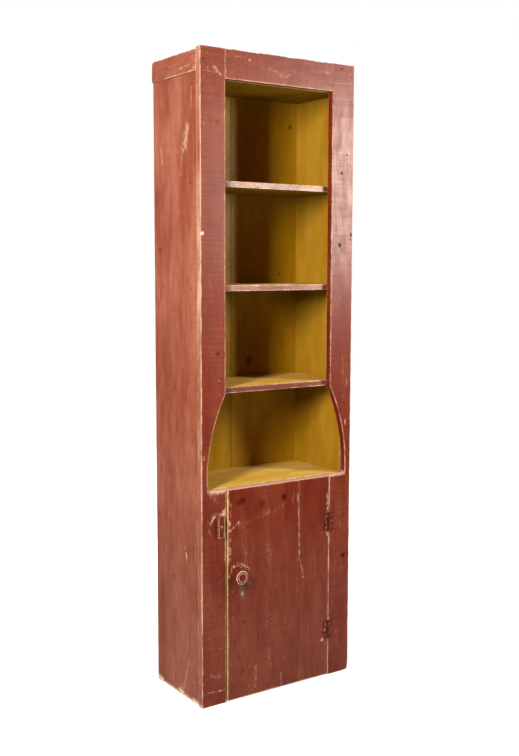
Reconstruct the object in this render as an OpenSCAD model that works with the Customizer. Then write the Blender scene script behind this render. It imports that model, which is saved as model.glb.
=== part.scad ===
// Chimney cupboard: a tall, narrow, free-standing painted cupboard. Three shelves and a
// counter stand open in front, and a low cupboard under the counter has a door of two
// boards that a wooden turn button holds shut. It is nailed together from sawn boards.

/* [Case] */
// Height of the face frame, from the floor
case_h = 1905; // [1700:5:2100]
// Width over the face frame
case_w = 549; // [500:1:620]
// Depth from the front of the face frame to the back
case_d = 277; // [240:1:340]
// Thickness of the side boards and of the strips on top of them
side_t = 22; // [18:0.5:26]
// How far the side boards stand in from the outer edges of the face frame
side_inset = 4; // [1:0.5:5]
// How far the strips and the back end below the top of the face frame
top_drop = 5.5; // [2:0.5:12]
// Gap at the front end of each top strip
strip_gap = 0.6; // [0.2:0.1:1.5]

/* [Back] */
// Thickness of the back boards
back_t = 15; // [10:0.5:18]
// Width of the rabbet that takes the back, in each side board
rabbet_w = 10; // [7:0.5:12]
// Width of the left back board
back_left_w = 253; // [200:1:280]
// How far the back boards end above the floor
back_lift = 3; // [0.5:0.5:10]
// Joint between two boards that lie edge to edge
board_joint = 0.6; // [0.2:0.1:1.5]

/* [Face frame] */
// Thickness of the face frame
frame_t = 22; // [18:0.5:26]
// Width of each stile
stile_w = 83; // [75:1:95]
// Height of the top rail
rail_h = 83; // [60:1:100]
// Width of each stile just above the counter, at the foot of its curve
narrow_w = 21; // [18:0.5:30]
// Length of that narrow stretch, which runs upright from the counter to the curve
scoop_foot = 30; // [5:1:80]

/* [Shelves] */
// Height of the counter's upper face
counter_h = 650; // [600:1:720]
// Thickness of the shelves, the counter and the other boards between the sides
shelf_t = 18; // [15:0.5:22]
// Clear height between the counter and the shelf over it, and from shelf to shelf
bay_h = 279.4; // [240:0.2:300]
// How far the top board hangs below the top rail's lower edge
top_board_drop = 1; // [0:0.5:5]
// Height of the upper face of the shelf inside the cupboard
inner_shelf_h = 350; // [300:1:420]
// Height of the upper face of the cupboard's floor board
floor_board_h = 60; // [35:1:65]
// Depth of the dadoes that hold the ends of these boards
dado_d = 6; // [4:0.5:9]

/* [Door] */
// Gap between the left stile and the door
door_gap = 5.5; // [3:0.5:8]
// Gap between the door and the right stile, where the hinges are
hinge_gap = 2; // [1.5:0.25:3]
// How far the top of the door is below the counter's upper face
door_top_gap = 2; // [1:0.5:6]
// Clearance between the door and the floor
door_lift = 4; // [2:0.5:12]
// Clearance between the back of the door and the boards it closes against
door_stop_gap = 0.5; // [0.3:0.1:1.5]
// Width of the door's narrow board, on the hinge side
door_narrow_w = 114; // [80:1:150]
// Width of the two battens on the back of the door
batten_w = 60; // [40:1:80]
// Thickness of the battens
batten_t = 18; // [12:0.5:22]
// How far the ends of the battens stand in from the edges of the door
batten_inset = 18; // [12:1:30]
// Chamfer along the back edges of the battens
batten_chamfer = 5; // [1:0.5:10]
// Distance from the top of the door to the middle of the upper batten
upper_batten_drop = 85; // [70:1:110]
// Distance from the bottom of the door to the middle of the lower batten
lower_batten_rise = 112; // [106:1:150]

/* [Hinges] */
// Height of the hinge leaves
leaf_h = 57; // [45:1:70]
// Width of a leaf, from the middle of the pin to its edge
leaf_w = 17.2; // [15:0.2:22]
// Thickness of a leaf
leaf_t = 2; // [1.6:0.1:2.4]
// Outer radius of the knuckles
knuckle_r = 3.2; // [3:0.1:4]
// How many knuckles a hinge has
knuckles = 5; // [3:2:7]
// Gap between two knuckles
knuckle_gap = 0.4; // [0.3:0.1:0.8]
// Radius of the hinge pin
pin_r = 1.6; // [1.2:0.1:2]
// Clearance round the pin
pin_fit = 0.05; // [0.02:0.01:0.08]
// Radius of the buttons on the ends of the pin
pin_button_r = 2.6; // [2.2:0.1:3]
// Thickness of these buttons
pin_button_t = 1.4; // [1:0.1:2]
// Height of the middle of the upper hinge, from the floor
upper_hinge_h = 501; // [470:1:520]
// Height of the middle of the lower hinge, from the floor
lower_hinge_h = 151; // [120:1:220]

/* [Knob] */
// Radius of the knob's face
knob_r = 22; // [18:0.5:26]
// How far the knob stands out from the door
knob_reach = 33; // [28:0.5:40]
// Radius of the knob's neck
knob_neck_r = 9; // [7:0.5:11]
// Radius of the foot that sits on the door
knob_foot_r = 14.5; // [12:0.5:17]
// Distance from the door's left edge to the middle of the knob
knob_inset = 31.5; // [26:0.5:60]
// Height of the middle of the knob, from the floor
knob_h = 386; // [300:1:450]

/* [Turn button] */
// Length of the turn button
button_l = 66; // [60:1:70]
// Width of the turn button
button_w = 20; // [16:0.5:24]
// Thickness of the turn button
button_t = 10; // [8:0.5:14]
// Distance from the left stile's inner edge to the button's screw
button_inset = 21; // [18:0.5:24]
// Height of the button's screw, from the floor
button_h = 542; // [480:1:580]
// Gap between the button and the boards behind it
button_gap = 0.4; // [0.3:0.1:0.8]

/* [Screws and nails] */
// Radius of the hinge screws' shanks
screw_r = 1.9; // [1.5:0.1:2.1]
// Radius of the hinge screws' heads
screw_head_r = 3.4; // [2.8:0.1:3.6]
// Length of the hinge screws
screw_l = 15; // [10:0.5:17]
// Radius of the shanks of the knob's and the button's screws
round_screw_r = 2.2; // [1.8:0.1:2.6]
// Radius of their round heads
round_head_r = 4.2; // [3.8:0.1:5]
// Radius of the nails' shanks
nail_r = 1.4; // [1:0.1:1.8]
// Radius of the nails' heads
nail_head_r = 2.9; // [2.4:0.1:3.4]
// Length of the nails
nail_l = 44; // [40:1:50]
// Length of the nails that clinch the battens
batten_nail_l = 37; // [34:0.5:39]
// Clearance round every screw and nail
fastener_fit = 0.05; // [0.02:0.01:0.1]

/* [Hidden] */
$fn = 48;

RED = [0.50, 0.21, 0.15];
DARK_RED = [0.36, 0.12, 0.08];
MUSTARD = [0.66, 0.50, 0.16];
PINE = [0.74, 0.60, 0.42];
IRON = [0.34, 0.12, 0.09];
STEEL = [0.45, 0.43, 0.40];

// Everything below is measured from the left edge, the front face and the foot of the face
// frame, and placed() then puts the origin under the middle of the whole cupboard.
y_mid = (case_d - knob_reach) / 2;

side_inner = side_inset + side_t;
back_y = case_d - back_t;
back_x = side_inner - rabbet_w;
back_w = case_w - 2 * back_x;
back_top = case_h - top_drop;
rail_z = case_h - rail_h;
top_board_z = rail_z - top_board_drop;
side_h = top_board_z + shelf_t;
strip_h = back_top - side_h;
function shelf_top(i) = counter_h + i * (bay_h + shelf_t);
board_tops = [
  floor_board_h, inner_shelf_h, counter_h, shelf_top(1), shelf_top(2), shelf_top(3), side_h
];

// The curve that narrows each stile is a circle's arc, upright at its lower end.
curve_z = counter_h + scoop_foot;
curve_h = bay_h - scoop_foot;
curve_w = stile_w - narrow_w;
curve_r = (curve_w * curve_w + curve_h * curve_h) / (2 * curve_w);

door_x = stile_w + door_gap;
door_end = case_w - stile_w - hinge_gap;
door_w = door_end - door_x;
door_t = frame_t - door_stop_gap;
door_top = counter_h - door_top_gap;
door_h = door_top - door_lift;
door_split = door_end - door_narrow_w;
upper_batten_z = door_top - upper_batten_drop;
lower_batten_z = door_lift + lower_batten_rise;

// The pin stands in front of the middle of the gap between the door and the stile.
pin_x = door_end + hinge_gap / 2;
pin_lift = knuckle_r + knuckle_gap;
knuckle_h = leaf_h / knuckles;
leaf_screw_margin = 10.5;
leaf_screw_x = 10.2;
leaf_screw_stagger = 2.2;

knob_x = door_x + knob_inset;
button_x = stile_w - button_inset;
screw_head_t = 1.5;
round_head_t = 2.2;
nail_head_t = 0.8;

// Distance of the nails from the ends and edges of the boards that they hold
shelf_nail_inset = 38;
back_nail_inset = 45;
back_nail_from_joint = 40;
stile_nail_x = 10;
stile_nail_inset = 45;
counter_nail_rises = [100, 172];
upper_nail_rise = 60;
upper_nail_drop = 40;
rail_nail_inset = 40;
batten_nail_inset = 20;
batten_nail_from_joint = 25;
batten_nail_stagger = batten_w / 5;
// Length of a screw's shank inside the knob, and inside the stile
knob_screw_bite = 16;
button_screw_bite = 17;

module placed() {
  translate([-case_w / 2, -y_mid, 0]) children();
}

module on_the_right() {
  translate([case_w, 0, 0]) mirror([1, 0, 0]) children();
}

module both_sides() {
  children();
  on_the_right() children();
}

// Fasteners point along +Z from the face that their heads are flush with.
module nail(length) {
  cylinder(h = nail_head_t, r = nail_head_r);
  cylinder(h = length, r = nail_r);
}

module nail_hole(length) {
  translate([0, 0, -1])
    cylinder(h = nail_head_t + 1 + fastener_fit, r = nail_head_r + fastener_fit);
  cylinder(h = length + fastener_fit, r = nail_r + fastener_fit);
}

module flat_screw() {
  cylinder(h = screw_head_t, r1 = screw_head_r, r2 = screw_r);
  cylinder(h = screw_l, r = screw_r);
}

module flat_screw_hole() {
  cylinder(h = screw_head_t + fastener_fit, r1 = screw_head_r + fastener_fit,
    r2 = screw_r + fastener_fit);
  translate([0, 0, -1]) cylinder(h = screw_l + 1 + fastener_fit, r = screw_r + fastener_fit);
}

module round_screw(length) {
  cylinder(h = length, r = round_screw_r);
  rotate_extrude() intersection() {
    translate([0, -round_head_t]) square([round_head_r, round_head_t]);
    translate([0, dome_r() - round_head_t]) circle(r = dome_r(), $fn = 96);
  }
}

// Radius of a sphere that is round_head_r wide where it is round_head_t deep
function dome_r() =
  (round_head_r * round_head_r + round_head_t * round_head_t) / (2 * round_head_t);

// Places of the nails that hold the boards between the sides, on the left side board
module at_shelf_nails(tops) {
  for (top = tops, y = [frame_t + shelf_nail_inset, back_y - shelf_nail_inset])
    translate([side_inset, y, top - shelf_t / 2]) rotate([0, 90, 0]) children();
}

// Places of the nails through one back board, into the back edges of those boards
module at_back_nails(tops) {
  for (top = tops, x = back_nail_xs())
    translate([x, case_d, top - shelf_t / 2]) rotate([90, 0, 0]) children();
}

function back_nail_xs() = [
  back_x + back_nail_inset, back_x + back_left_w - back_nail_from_joint,
  back_x + back_left_w + back_nail_from_joint, case_w - back_x - back_nail_inset
];

// Heights of the nails through a stile into the side board behind it
function stile_nail_zs() = [
  for (i = [0:2]) stile_nail_inset + i * (counter_h - 2 * stile_nail_inset) / 2,
  for (rise = counter_nail_rises) counter_h + rise,
  for (i = [0:4]) shelf_top(1) + upper_nail_rise
    + i * (side_h - shelf_top(1) - upper_nail_rise - upper_nail_drop) / 4
];
strip_nail_z = side_h + strip_h / 2;

module at_frame_nail(x, z) {
  translate([x, 0, z]) rotate([-90, 0, 0]) children();
}

module at_stile_nails() {
  for (z = stile_nail_zs()) at_frame_nail(stile_nail_x, z) children();
}

module at_rail_nails() {
  for (x = [-1, 0, 1])
    at_frame_nail(case_w / 2 + x * (case_w / 2 - stile_w - rail_nail_inset),
      side_h - shelf_t / 2) children();
}

module at_strip_nails() {
  for (z = [side_h + strip_h / 4, side_h + strip_h * 3 / 4])
    translate([0, back_y + back_t / 2, z]) rotate([0, 90, 0]) children();
}

// Places of the nails through the door boards into a batten, in two staggered rows
module at_batten_nails() {
  xs = batten_nail_xs();
  for (z = [upper_batten_z, lower_batten_z], i = [0:len(xs) - 1])
    translate([xs[i], 0, z + (i % 2 == 0 ? 1 : -1) * batten_nail_stagger])
      rotate([-90, 0, 0]) children();
}

function batten_nail_xs() = [
  for (i = [0:2]) door_x + batten_inset + batten_nail_inset + i / 2
    * (door_split - batten_nail_from_joint - door_x - batten_inset - batten_nail_inset),
  door_split + batten_nail_from_joint, door_end - batten_inset - batten_nail_inset
];

module side_board() {
  difference() {
    translate([side_inset, frame_t, 0]) cube([side_t, case_d - frame_t, side_h]);
    translate([back_x, back_y, -1]) cube([rabbet_w + 1, back_t + 1, side_h + 2]);
    for (top = board_tops)
      translate([side_inner - dado_d, frame_t - 1, top - shelf_t])
        cube([dado_d + 1, case_d, top == side_h ? shelf_t + 1 : shelf_t]);
    at_shelf_nails(board_tops) nail_hole(nail_l);
    at_stile_nails() nail_hole(nail_l);
  }
}

module left_side() {
  color(RED) placed() side_board();
}

module right_side() {
  color(RED) placed() on_the_right() side_board();
}

module back_board(x, w) {
  difference() {
    translate([x, back_y, back_lift]) cube([w, back_t, back_top - back_lift]);
    at_back_nails(board_tops) nail_hole(nail_l);
    both_sides() at_strip_nails() nail_hole(nail_l);
  }
}

module back_board_left() {
  color(MUSTARD) placed() back_board(back_x, back_left_w);
}

module back_board_right() {
  color(MUSTARD) placed()
    back_board(back_x + back_left_w + board_joint, back_w - back_left_w - board_joint);
}

module stile_outline() {
  difference() {
    square([stile_w, case_h]);
    translate([narrow_w, counter_h]) square([stile_w, scoop_foot]);
    intersection() {
      translate([narrow_w + curve_r, curve_z]) circle(r = curve_r, $fn = 720);
      translate([0, curve_z]) square([stile_w + 1, curve_h]);
    }
  }
}

module stile() {
  difference() {
    translate([0, frame_t, 0]) rotate([90, 0, 0]) linear_extrude(frame_t) stile_outline();
    at_stile_nails() nail_hole(nail_l);
    at_frame_nail(stile_nail_x, strip_nail_z) nail_hole(nail_l);
  }
}

module left_stile() {
  color(RED) placed() difference() {
    stile();
    translate([button_x, -1, button_h]) rotate([-90, 0, 0])
      cylinder(h = button_screw_bite + 1 + fastener_fit, r = round_screw_r + fastener_fit);
  }
}

module right_stile() {
  color(RED) placed() difference() {
    on_the_right() stile();
    at_leaf_screws(1) flat_screw_hole();
  }
}

module top_rail() {
  color(RED) placed() difference() {
    translate([stile_w, 0, rail_z]) cube([case_w - 2 * stile_w, frame_t, rail_h]);
    at_rail_nails() nail_hole(nail_l);
  }
}

module top_strip() {
  difference() {
    translate([0, frame_t + strip_gap, side_h])
      cube([side_t, case_d - frame_t - strip_gap, strip_h]);
    translate([back_x, back_y, side_h - 1]) cube([side_t, back_t + 1, strip_h + 2]);
    at_frame_nail(stile_nail_x, strip_nail_z) nail_hole(nail_l);
    at_strip_nails() nail_hole(nail_l);
  }
}

module left_top_strip() {
  color(RED) placed() top_strip();
}

module right_top_strip() {
  color(RED) placed() on_the_right() top_strip();
}

// A board between the sides, its ends in their dadoes, given by its upper face
module between_sides(top) {
  difference() {
    translate([side_inner - dado_d, frame_t, top - shelf_t])
      cube([case_w - 2 * (side_inner - dado_d), back_y - frame_t, shelf_t]);
    both_sides() at_shelf_nails([top]) nail_hole(nail_l);
    at_back_nails([top]) nail_hole(nail_l);
  }
}

module top_board() {
  color(MUSTARD) placed() difference() {
    between_sides(side_h);
    at_rail_nails() nail_hole(nail_l);
  }
}

module upper_shelf() {
  color(MUSTARD) placed() between_sides(shelf_top(3));
}

module middle_shelf() {
  color(MUSTARD) placed() between_sides(shelf_top(2));
}

module lower_shelf() {
  color(MUSTARD) placed() between_sides(shelf_top(1));
}

module counter_shelf() {
  color(MUSTARD) placed() between_sides(counter_h);
}

module inner_shelf() {
  color(PINE) placed() between_sides(inner_shelf_h);
}

module floor_board() {
  color(PINE) placed() between_sides(floor_board_h);
}

module door_board(x, w) {
  difference() {
    translate([x, 0, door_lift]) cube([w, door_t, door_h]);
    at_batten_nails() nail_hole(batten_nail_l);
    at_leaf_screws(-1) flat_screw_hole();
    at_knob() translate([0, 0, -1])
      cylinder(h = door_t + 2, r = round_screw_r + fastener_fit);
  }
}

module door_board_wide() {
  color(RED) placed() door_board(door_x, door_split - door_x - board_joint);
}

module door_board_narrow() {
  color(RED) placed() door_board(door_split, door_narrow_w);
}

// Section across a batten, with x from the back of the door
module batten_section() {
  polygon([
    [0, 0], [batten_t - batten_chamfer, 0], [batten_t, batten_chamfer],
    [batten_t, batten_w - batten_chamfer], [batten_t - batten_chamfer, batten_w], [0, batten_w]
  ]);
}

module batten(z) {
  color(PINE) placed() difference() {
    translate([door_x + batten_inset, door_t, z - batten_w / 2]) rotate([90, 0, 90])
      linear_extrude(door_w - 2 * batten_inset) batten_section();
    at_batten_nails() nail_hole(batten_nail_l);
  }
}

module upper_batten() {
  batten(upper_batten_z);
}

module lower_batten() {
  batten(lower_batten_z);
}

// The knob's axis, pointing from the door's face into the door
module at_knob() {
  translate([knob_x, 0, knob_h]) rotate([-90, 0, 0]) children();
}

// Half of the turned knob's outline: radius along x, and y from the door to the face
module knob_outline() {
  foot_t = 4;
  rim_t = 12;
  bead_r = rim_t / 2;
  dish_r = 30;
  dish_w = 12.5;
  cove_r = 6;
  ring_r = 15.5;
  groove_r = 1.1;
  difference() {
    union() {
      square([knob_foot_r - foot_t / 2, foot_t]);
      translate([knob_foot_r - foot_t / 2, foot_t / 2]) circle(r = foot_t / 2);
      square([knob_neck_r, knob_reach - rim_t]);
      // Cove from the neck out to the rim
      difference() {
        translate([0, knob_reach - rim_t - cove_r])
          square([knob_neck_r + cove_r, cove_r + rim_t / 2]);
        translate([knob_neck_r + cove_r, knob_reach - rim_t - cove_r]) circle(r = cove_r);
      }
      translate([0, knob_reach - rim_t]) square([knob_r - bead_r, rim_t]);
      translate([knob_r - bead_r, knob_reach - bead_r]) circle(r = bead_r);
    }
    // Shallow dish and a turned ring in the face
    translate([0, knob_reach + sqrt(dish_r * dish_r - dish_w * dish_w)])
      circle(r = dish_r, $fn = 180);
    translate([ring_r, knob_reach]) circle(r = groove_r);
  }
}

module door_knob() {
  color(DARK_RED) placed() at_knob() mirror([0, 0, 1]) difference() {
    rotate_extrude($fn = 96) knob_outline();
    translate([0, 0, -1])
      cylinder(h = knob_screw_bite + 1 + fastener_fit, r = round_screw_r + fastener_fit);
  }
}

module knob_screw() {
  color(STEEL) placed() at_knob() translate([0, 0, door_t]) mirror([0, 0, 1])
    round_screw(door_t + knob_screw_bite);
}

// The button's screw axis, pointing into the stile from the button's front face
module at_button() {
  translate([button_x, -button_gap - button_t, button_h]) rotate([-90, 0, 0]) children();
}

// Upright, the rounded end up: clear of the door. A quarter turn lays it over the door.
module button_outline() {
  corner_r = button_w * 0.4;
  square_r = 1.5;
  difference() {
    union() {
      translate([-button_w / 2, -button_l / 2 + square_r])
        square([button_w, button_l - square_r - corner_r]);
      translate([-button_w / 2 + corner_r, 0])
        square([button_w - 2 * corner_r, button_l / 2]);
      translate([-button_w / 2 + square_r, -button_l / 2])
        square([button_w - 2 * square_r, button_l / 2]);
      for (side = [-1, 1]) {
        translate([side * (button_w / 2 - corner_r), button_l / 2 - corner_r])
          circle(r = corner_r);
        translate([side * (button_w / 2 - square_r), -button_l / 2 + square_r])
          circle(r = square_r);
      }
    }
    circle(r = round_screw_r + fastener_fit);
  }
}

module turn_button() {
  color(DARK_RED) placed() translate([button_x, -button_gap, button_h]) rotate([90, 0, 0])
    linear_extrude(button_t) button_outline();
}

module button_screw() {
  head_gap = 0.3;
  color(STEEL) placed() at_button() translate([0, 0, -head_gap])
    round_screw(head_gap + button_t + button_gap + button_screw_bite);
}

// Hinges. Each is drawn round its pin, with z from the middle of the pin; side is 1 for
// the leaf on the stile and -1 for the leaf on the door.
module at_hinge(h) {
  translate([pin_x, -pin_lift, h]) children();
}

module at_hinges() {
  at_hinge(upper_hinge_h) children();
  at_hinge(lower_hinge_h) children();
}

module at_leaf_screws(side) {
  at_hinges() for (i = [-1, 0, 1])
    translate([
      side * (leaf_screw_x + (i == 0 ? leaf_screw_stagger : 0)),
      pin_lift - leaf_t,
      i * (leaf_h / 2 - leaf_screw_margin)
    ]) rotate([-90, 0, 0]) children();
}

// Whether knuckle i, counted from the foot, belongs to the leaf on this side
function own_knuckle(i, side) = (i % 2 == 0) == (side == 1);

module leaf(h, side) {
  color(IRON) placed() difference() {
    at_hinge(h) difference() {
      union() {
        translate([side == 1 ? pin_lift : -leaf_w, pin_lift - leaf_t, -leaf_h / 2])
          cube([leaf_w - pin_lift, leaf_t, leaf_h]);
        for (i = [0:knuckles - 1]) if (own_knuckle(i, side)) {
          foot = -leaf_h / 2 + i * knuckle_h + (i == 0 ? 0 : knuckle_gap / 2);
          top = -leaf_h / 2 + (i + 1) * knuckle_h
            - (i == knuckles - 1 ? 0 : knuckle_gap / 2);
          translate([0, 0, foot]) cylinder(h = top - foot, r = knuckle_r);
          translate([side == 1 ? 0 : -pin_lift - 1, pin_lift - leaf_t, foot])
            cube([pin_lift + 1, leaf_t, top - foot]);
        }
      }
      translate([0, 0, -leaf_h]) cylinder(h = 2 * leaf_h, r = pin_r + pin_fit);
    }
    at_leaf_screws(side) flat_screw_hole();
  }
}

module upper_frame_leaf() {
  leaf(upper_hinge_h, 1);
}

module upper_door_leaf() {
  leaf(upper_hinge_h, -1);
}

module lower_frame_leaf() {
  leaf(lower_hinge_h, 1);
}

module lower_door_leaf() {
  leaf(lower_hinge_h, -1);
}

module hinge_pin(h) {
  button_gap_z = 0.2;
  reach = leaf_h / 2 + button_gap_z + pin_button_t;
  color(IRON) placed() at_hinge(h) {
    translate([0, 0, -reach]) cylinder(h = 2 * reach, r = pin_r);
    translate([0, 0, -reach]) cylinder(h = pin_button_t, r = pin_button_r);
    translate([0, 0, reach - pin_button_t]) cylinder(h = pin_button_t, r = pin_button_r);
  }
}

module upper_hinge_pin() {
  hinge_pin(upper_hinge_h);
}

module lower_hinge_pin() {
  hinge_pin(lower_hinge_h);
}

module frame_leaf_screws() {
  color(STEEL) placed() at_leaf_screws(1) flat_screw();
}

module door_leaf_screws() {
  color(STEEL) placed() at_leaf_screws(-1) flat_screw();
}

module frame_nails() {
  color(STEEL) placed() {
    both_sides() {
      at_stile_nails() nail(nail_l);
      at_frame_nail(stile_nail_x, strip_nail_z) nail(nail_l);
    }
    at_rail_nails() nail(nail_l);
  }
}

module shelf_nails() {
  color(STEEL) placed() both_sides() at_shelf_nails(board_tops) nail(nail_l);
}

module back_nails() {
  color(STEEL) placed() at_back_nails(board_tops) nail(nail_l);
}

module strip_nails() {
  color(STEEL) placed() both_sides() at_strip_nails() nail(nail_l);
}

module batten_nails() {
  color(STEEL) placed() at_batten_nails() nail(batten_nail_l);
}

left_side();
right_side();
back_board_left();
back_board_right();
left_stile();
right_stile();
top_rail();
left_top_strip();
right_top_strip();
top_board();
upper_shelf();
middle_shelf();
lower_shelf();
counter_shelf();
inner_shelf();
floor_board();
door_board_wide();
door_board_narrow();
upper_batten();
lower_batten();
door_knob();
knob_screw();
turn_button();
button_screw();
upper_frame_leaf();
upper_door_leaf();
upper_hinge_pin();
lower_frame_leaf();
lower_door_leaf();
lower_hinge_pin();
frame_leaf_screws();
door_leaf_screws();
frame_nails();
shelf_nails();
back_nails();
strip_nails();
batten_nails();
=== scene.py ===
import math

import bmesh
import bpy
from mathutils import Matrix, Vector, noise


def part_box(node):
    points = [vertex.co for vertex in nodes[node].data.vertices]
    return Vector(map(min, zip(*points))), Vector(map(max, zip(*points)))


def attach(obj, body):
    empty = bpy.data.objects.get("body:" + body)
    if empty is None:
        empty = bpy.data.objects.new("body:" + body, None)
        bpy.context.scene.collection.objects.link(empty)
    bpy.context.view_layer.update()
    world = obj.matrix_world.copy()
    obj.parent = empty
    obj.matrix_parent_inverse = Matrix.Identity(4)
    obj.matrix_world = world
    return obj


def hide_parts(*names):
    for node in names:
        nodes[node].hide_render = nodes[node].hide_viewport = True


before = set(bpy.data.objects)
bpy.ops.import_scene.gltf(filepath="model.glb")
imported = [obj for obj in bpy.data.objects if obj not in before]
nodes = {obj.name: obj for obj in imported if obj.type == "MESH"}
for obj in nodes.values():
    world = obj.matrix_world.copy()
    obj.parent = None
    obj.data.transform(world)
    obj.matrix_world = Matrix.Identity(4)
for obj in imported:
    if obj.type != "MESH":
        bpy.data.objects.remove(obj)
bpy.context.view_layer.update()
MM = 0.001

# The camera stands where the photograph was taken from: about 3.2 m away, to the left of the
# cupboard, at chest height and looking slightly down.


def placed(name, data):
    """A new object in the scene, from a mesh, a lamp or a camera."""
    thing = bpy.data.objects.new(name, data)
    bpy.context.scene.collection.objects.link(thing)
    return thing


camera_place = Vector((-1.79015, -2.63959, 1.30684))
camera_turn = math.radians(-34.291)
camera_tilt = math.radians(-6.291)
camera_roll = math.radians(0.118)
camera_lens = 49.4
turn = Matrix.Rotation(camera_turn, 4, "Z")
tilt = Matrix.Rotation(math.pi / 2 + camera_tilt, 4, "X")
roll = Matrix.Rotation(camera_roll, 4, "Z")
camera = placed("camera", bpy.data.cameras.new("camera"))
camera.matrix_world = Matrix.Translation(camera_place) @ turn @ tilt @ roll
camera.data.sensor_width = 36
camera.data.lens = camera_lens
bpy.context.scene.camera = camera


def linear(code):
    """An sRGB colour written as six hex digits, as the linear colour that Blender's sockets take."""
    parts = [int(code[i:i + 2], 16) / 255 for i in (0, 2, 4)]
    return [c / 12.92 if c < 0.04045 else ((c + 0.055) / 1.055) ** 2.4 for c in parts] + [1.0]


def add(tree, kind, inputs=(), **settings):
    """Adds a node. Its inputs come by name or in order, as values, sockets or nodes, which give their
    first output."""
    node = tree.nodes.new(kind)
    for name, value in settings.items():
        setattr(node, name, value)
    for key, value in inputs.items() if isinstance(inputs, dict) else enumerate(inputs):
        named = [s for s in node.inputs if s.enabled and s.name == key]
        socket = named[0] if named else node.inputs[key]
        if isinstance(value, bpy.types.Node):
            value = [s for s in value.outputs if s.enabled][0]
        if isinstance(value, bpy.types.NodeSocket):
            tree.links.new(value, socket)
        else:
            socket.default_value = value
    return node


# A photographer's white room: two tall soft boxes, one in front on the right that shines on the
# front and one on the left for the side, a weak wide one behind, and pale walls. The left one
# is kept out of the reflections, or its glare would cover the front when seen from the right.
bpy.context.scene.view_settings.view_transform = "Standard"
# Each soft box has a place, a point that it faces, a size in metres and a power in watts.
SOFT_BOXES = {
    "soft_box_right": ((1.3, -1.5, 1.67), (0.0, 0.0, 1.2), (0.36, 0.76), 60.0),
    "soft_box_left": ((-2.18, -1.46, 1.95), (0.0, 0.0, 1.4), (0.4, 1.0), 156.0),
    "soft_box_behind": ((1.3, 3.0, 2.3), (0.0, 0.15, 0.9), (1.6, 1.6), 60.0),
}
for name, (place, target, size, power) in SOFT_BOXES.items():
    box = bpy.data.lights.new(name, "AREA")
    box.shape = "RECTANGLE"
    box.size, box.size_y = size
    box.energy = power
    lamp = placed(name, box)
    lamp.location = place
    lamp.visible_glossy = name != "soft_box_left"
    lamp.rotation_euler = (Vector(target) - Vector(place)).to_track_quat("-Z", "Y").to_euler()

room = bpy.data.worlds.new("white_room")
room.use_nodes = True
room_light = 0.003
rays = add(room.node_tree, "ShaderNodeLightPath").outputs
direct = rays["Is Camera Ray"]
for ray in ("Is Transmission Ray", "Is Glossy Ray"):
    direct = add(room.node_tree, "ShaderNodeMath", [direct, rays[ray]], operation="MAXIMUM")
strength = add(room.node_tree, "ShaderNodeMapRange", {"Value": direct, "To Min": room_light})
walls = room.node_tree.nodes["Background"]
walls.inputs["Color"].default_value = linear("ffffff")
room.node_tree.links.new(strength.outputs[0], walls.inputs["Strength"])
bpy.context.scene.world = room

# The floor of that room, one pale sheet. It is whitest away from the cupboard and keeps the
# cupboard's shadow round its foot. Under the cupboard, where the gaps round the door would let it
# show, it has no glow.


def new_material(name):
    """A new material, with its node tree and its shader."""
    material = bpy.data.materials.new(name)
    material.use_nodes = True
    return material, material.node_tree, material.node_tree.nodes["Principled BSDF"]


floor_reach = 6.0
shadow_reach, white_reach, shadow_glow = 0.3, 1.6, 0.35
foot_middle, foot_half = (0, 0.0165, 0), (0.255, 0.125, 0)
floor_mesh = bpy.data.meshes.new("floor")
floor_mesh.from_pydata([(-floor_reach, -floor_reach, 0), (floor_reach, -floor_reach, 0),
                        (floor_reach, floor_reach, 0), (-floor_reach, floor_reach, 0)],
                       [], [(0, 1, 2, 3)])
floor = placed("floor", floor_mesh)
paper, tree, sheet = new_material("white_paper_sweep")
place = add(tree, "ShaderNodeTexCoord").outputs["Object"]
away = add(tree, "ShaderNodeVectorMath", [place], operation="LENGTH").outputs["Value"]
off_middle = add(tree, "ShaderNodeVectorMath", [place, foot_middle], operation="SUBTRACT")
off_middle = add(tree, "ShaderNodeVectorMath", [off_middle], operation="ABSOLUTE")
past = add(tree, "ShaderNodeVectorMath", [off_middle, foot_half], operation="SUBTRACT")
past = add(tree, "ShaderNodeVectorMath", [past, (0, 0, 0)], operation="MAXIMUM")
gap = add(tree, "ShaderNodeVectorMath", [past], operation="LENGTH").outputs["Value"]
open_floor = add(tree, "ShaderNodeMath", [gap, 0.1 * MM], operation="GREATER_THAN")
lit = add(tree, "ShaderNodeMapRange", {
    "Value": away, "From Min": shadow_reach, "From Max": white_reach, "To Min": shadow_glow})
for share in (add(tree, "ShaderNodeLightPath").outputs["Is Camera Ray"], open_floor):
    lit = add(tree, "ShaderNodeMath", [lit, share], operation="MULTIPLY")
sheet.inputs["Base Color"].default_value = linear("e6e6e4")
sheet.inputs["Roughness"].default_value = 0.9
sheet.inputs["Specular IOR Level"].default_value = 0.1
sheet.inputs["Emission Color"].default_value = linear("ffffff")
tree.links.new(lit.outputs[0], sheet.inputs["Emission Strength"])
floor_mesh.materials.append(paper)


# The side boards. Each is one wide sawn pine board, red outside and mustard inside above the
# counter, with dadoes for the shelves and a rabbet for the back, nailed through from outside.
front_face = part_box("left_stile")[0].y
frame_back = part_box("left_stile")[1].y
left_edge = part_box("left_stile")[0].x
right_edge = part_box("right_stile")[1].x
counter_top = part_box("counter_shelf")[1].z
back_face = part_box("back_board_left")[1].y
back_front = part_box("back_board_left")[0].y
strip_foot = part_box("left_top_strip")[0].z
SHELVES = ["floor_board", "inner_shelf", "counter_shelf", "lower_shelf", "middle_shelf",
           "upper_shelf", "top_board"]


def spot(x, y, z):
    """A place in the row's frame, from millimetres right of the left edge, behind the front, and up."""
    return Vector((left_edge + x * MM, front_face + y * MM, z * MM))


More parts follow.
